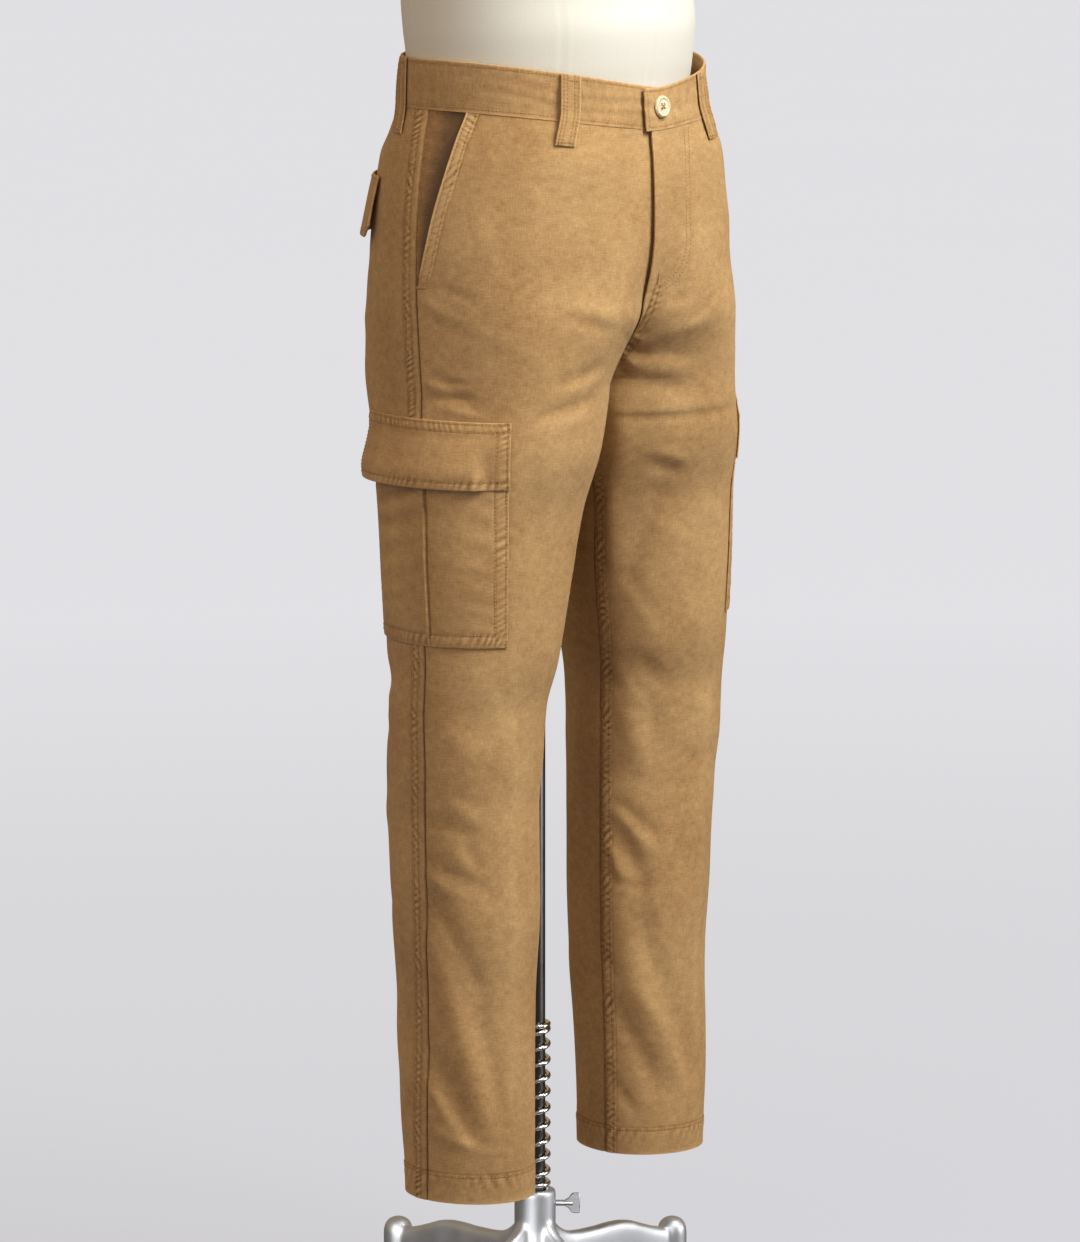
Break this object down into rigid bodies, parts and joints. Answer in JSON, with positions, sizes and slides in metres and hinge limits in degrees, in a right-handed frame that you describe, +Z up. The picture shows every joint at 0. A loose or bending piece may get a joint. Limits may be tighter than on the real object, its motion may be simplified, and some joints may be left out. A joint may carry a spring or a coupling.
{
  "type": "cargo trousers on a dress form with a stand",
  "caption": "Straight cargo trousers with thigh patch pockets and flaps, waistband and belt loops, worn by a limbless dress form on a rod and a cast stand.",
  "frame": {"origin": "on the floor, on the axis of the stand's rod, at the middle of the base's feet", "axes": "+Z up, -Y is the way the wearer faces, +X is the wearer's left"},
  "size_m": [0.4034, 0.4034, 1.7733],
  "materials": {
    "twill": "matt garment-dyed cotton twill",
    "horn": "satin",
    "jersey": "matt jersey over a shell",
    "cap": "matt",
    "rod": "dark satin",
    "spring": "bright wire",
    "casting": "satin casting",
    "screw": "satin"
  },
  "bodies": {
    "base": {"stand_base": "casting", "stand_spring": "spring"},
    "rod": {"stand_rod": "rod"},
    "form": {"front_right": "twill", "front_left": "twill", "back_right": "twill", "back_left": "twill", "pocket_facing_right": "twill", "pocket_facing_left": "twill", "waistband_right": "twill", "waistband_left": "twill", "cargo_pocket_right": "twill", "cargo_pocket_left": "twill", "cargo_flap_right": "twill", "cargo_flap_left": "twill", "back_flap_right": "twill", "back_flap_left": "twill", "belt_loop_front_right": "twill", "belt_loop_front_left": "twill", "belt_loop_side_right": "twill", "belt_loop_side_left": "twill", "belt_loop_back": "twill", "waist_button": "horn", "form_torso": "jersey", "form_neck_cap": "cap"},
    "thumb_screw": {"thumb_screw": "screw"}
  },
  "joints": [
    {"name": "height_slide", "type": "slide", "parent": "base", "child": "rod", "axis": [0, 0, 1], "range_m": [0, 0.1]},
    {"name": "form_swivel", "type": "hinge", "parent": "rod", "child": "form", "pos_m": [0, 0, 0.9], "axis": [0, 0, 1], "continuous": true},
    {"name": "screw_turn", "type": "hinge", "parent": "base", "child": "thumb_screw", "pos_m": [0, 0, 0.125], "axis": [0.6691, -0.7431, 0], "continuous": true}
  ]
}
